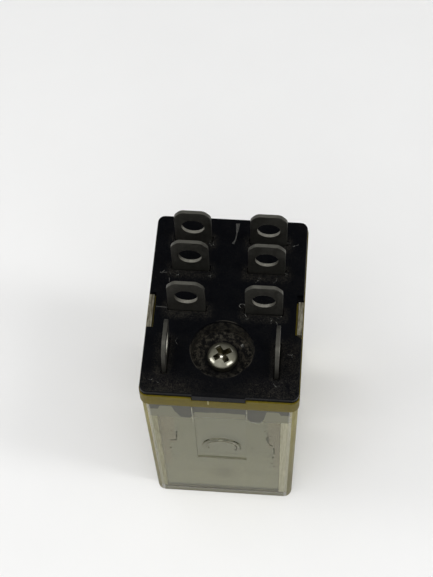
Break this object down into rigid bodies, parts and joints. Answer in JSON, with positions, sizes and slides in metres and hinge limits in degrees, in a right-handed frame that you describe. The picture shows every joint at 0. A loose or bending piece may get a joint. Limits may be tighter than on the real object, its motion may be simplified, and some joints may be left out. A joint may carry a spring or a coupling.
{
  "type": "plug-in relay",
  "caption": "Plug-in power relay: clear box cover over a screwed-in magnet and contact set, black base with flat holed blade terminals.",
  "frame": {"origin": "centre of the outer flat face of the cover's closed end, on which the relay stands", "axes": "+Z from the cover's closed end towards the base and its blade terminals, +Y towards the contact side (the row of normally open terminals), -Y towards the coil terminals and the base's front tab, +X to the right as seen from the front tab"},
  "size_m": [0.0216, 0.028, 0.0429],
  "materials": {
    "black_phenolic": "moulded black phenolic, slightly dusty",
    "aged_clear_plastic": "clear moulded plastic gone yellow with age",
    "tinned_metal": "dull tinned strip",
    "bright_nickel": "bright nickel plate",
    "plated_iron": "plated soft iron",
    "enamelled_copper": "enamelled copper wire",
    "spring_bronze": "rolled bronze strip",
    "contact_silver": "silver alloy",
    "nylon": "natural nylon moulding",
    "wrapping_tape": "amber polyester tape",
    "grey_card": "pressed insulating card",
    "carrier_phenolic": "dark red moulded phenolic",
    "copper_braid": "fine stranded copper"
  },
  "bodies": {
    "relay": {"base": "black_phenolic", "cover": "aged_clear_plastic", "screw": "bright_nickel", "yoke": "plated_iron", "core": "plated_iron", "bobbin": "nylon", "winding": "enamelled_copper", "coil_tape": "wrapping_tape", "front_card": "grey_card", "return_spring": "bright_nickel", "terminal_no_left": "tinned_metal", "terminal_no_right": "tinned_metal", "terminal_nc_left": "tinned_metal", "terminal_nc_right": "tinned_metal", "terminal_com_left": "tinned_metal", "terminal_com_right": "tinned_metal", "terminal_coil_left": "tinned_metal", "terminal_coil_right": "tinned_metal", "contact_no_left": "contact_silver", "contact_no_right": "contact_silver", "contact_nc_left": "contact_silver", "contact_nc_right": "contact_silver", "coil_lead_left": "enamelled_copper", "coil_lead_right": "enamelled_copper", "braid_left": "copper_braid", "braid_right": "copper_braid"},
    "armature": {"armature": "plated_iron", "carrier": "carrier_phenolic", "carrier_rivet_left": "bright_nickel", "carrier_rivet_right": "bright_nickel", "moving_spring_left": "spring_bronze", "moving_spring_right": "spring_bronze", "moving_contact_left": "contact_silver", "moving_contact_right": "contact_silver"}
  },
  "joints": [
    {"name": "armature_hinge", "type": "hinge", "parent": "relay", "child": "armature", "pos_m": [0, 0.0013, 0.0066], "axis": [-1, 0, 0], "range_deg": [0, 2.6], "stiffness_Nm_per_rad": 0.0002, "springref_deg": -17.19, "deforming": ["return_spring"]}
  ]
}
